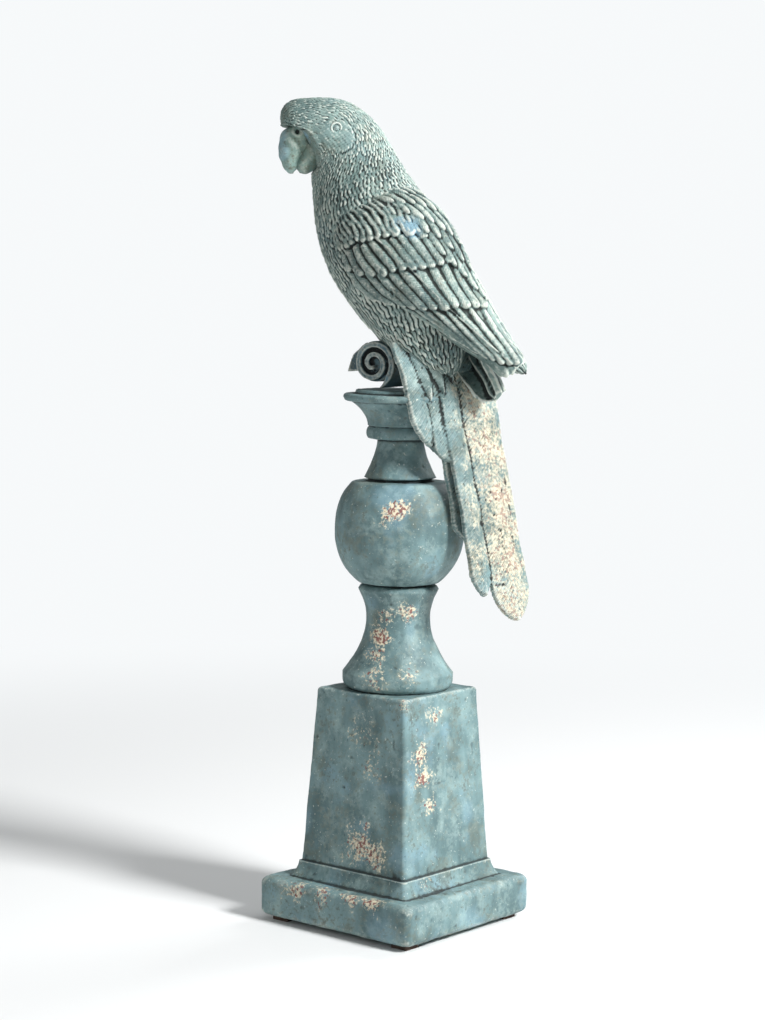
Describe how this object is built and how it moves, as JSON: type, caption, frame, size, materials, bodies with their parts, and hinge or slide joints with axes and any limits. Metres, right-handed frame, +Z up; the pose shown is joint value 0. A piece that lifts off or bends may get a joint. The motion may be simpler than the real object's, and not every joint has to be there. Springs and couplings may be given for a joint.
{
  "type": "parrot figurine",
  "caption": "Cast figurine of a parrot on a scroll above a turned finial and a tapered square plinth, in weathered teal paint.",
  "frame": {"origin": "middle of the plinth's underside", "axes": "+Z up through the plinth's axis; X and Y along the plinth's sides; the bird looks roughly along -Y"},
  "size_m": [0.115, 0.1571, 0.4905],
  "materials": {
    "weathered_paint": "weathered teal paint over cast resin, worn to cream and rust red",
    "foot_pad": "matte brown"
  },
  "bodies": {
    "root": {"figurine_casting": "weathered_paint", "foot_pad_front": "foot_pad", "foot_pad_left": "foot_pad", "foot_pad_right": "foot_pad", "foot_pad_back": "foot_pad"}
  },
  "joints": []
}
